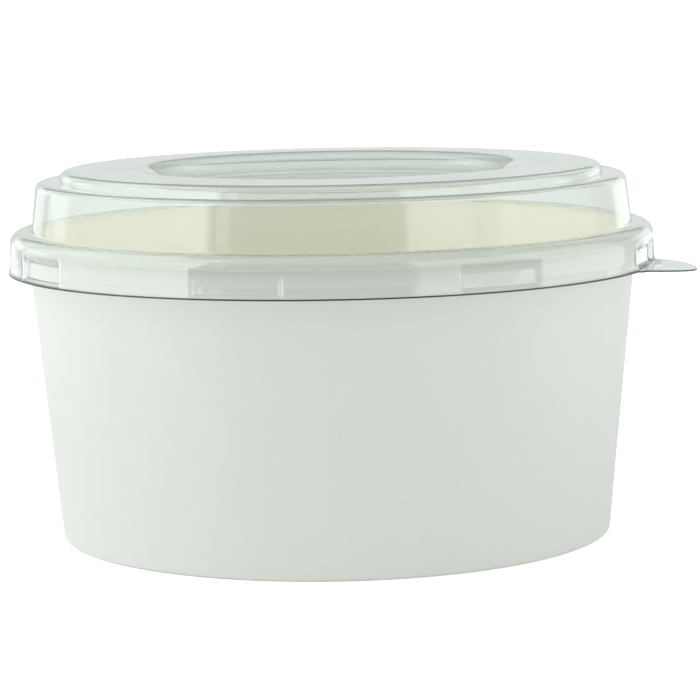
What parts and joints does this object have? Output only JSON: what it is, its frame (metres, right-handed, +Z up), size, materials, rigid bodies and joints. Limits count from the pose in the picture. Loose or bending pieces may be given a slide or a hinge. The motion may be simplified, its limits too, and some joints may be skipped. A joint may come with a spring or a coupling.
{
  "type": "lidded paper salad bowl",
  "caption": "Round tapered paper salad bowl with a rolled rim and recessed base, closed by a clear stepped press-on lid with a pull tab and a dished top.",
  "frame": {"origin": "on the surface the bowl stands on, under the middle of the outline with the pull tab included; the bowl's own axis is 5.65 mm towards -X", "axes": "+Z up along the bowl's axis, +X out along the pull tab"},
  "size_m": [0.1808, 0.1694, 0.0964],
  "materials": {
    "lined_board": "white board with a thin satin lining",
    "clear_plastic": "clear, glossy, thermoformed"
  },
  "bodies": {
    "root": {"bowl_wall": "lined_board", "bowl_base": "lined_board", "lid": "clear_plastic"}
  },
  "joints": []
}
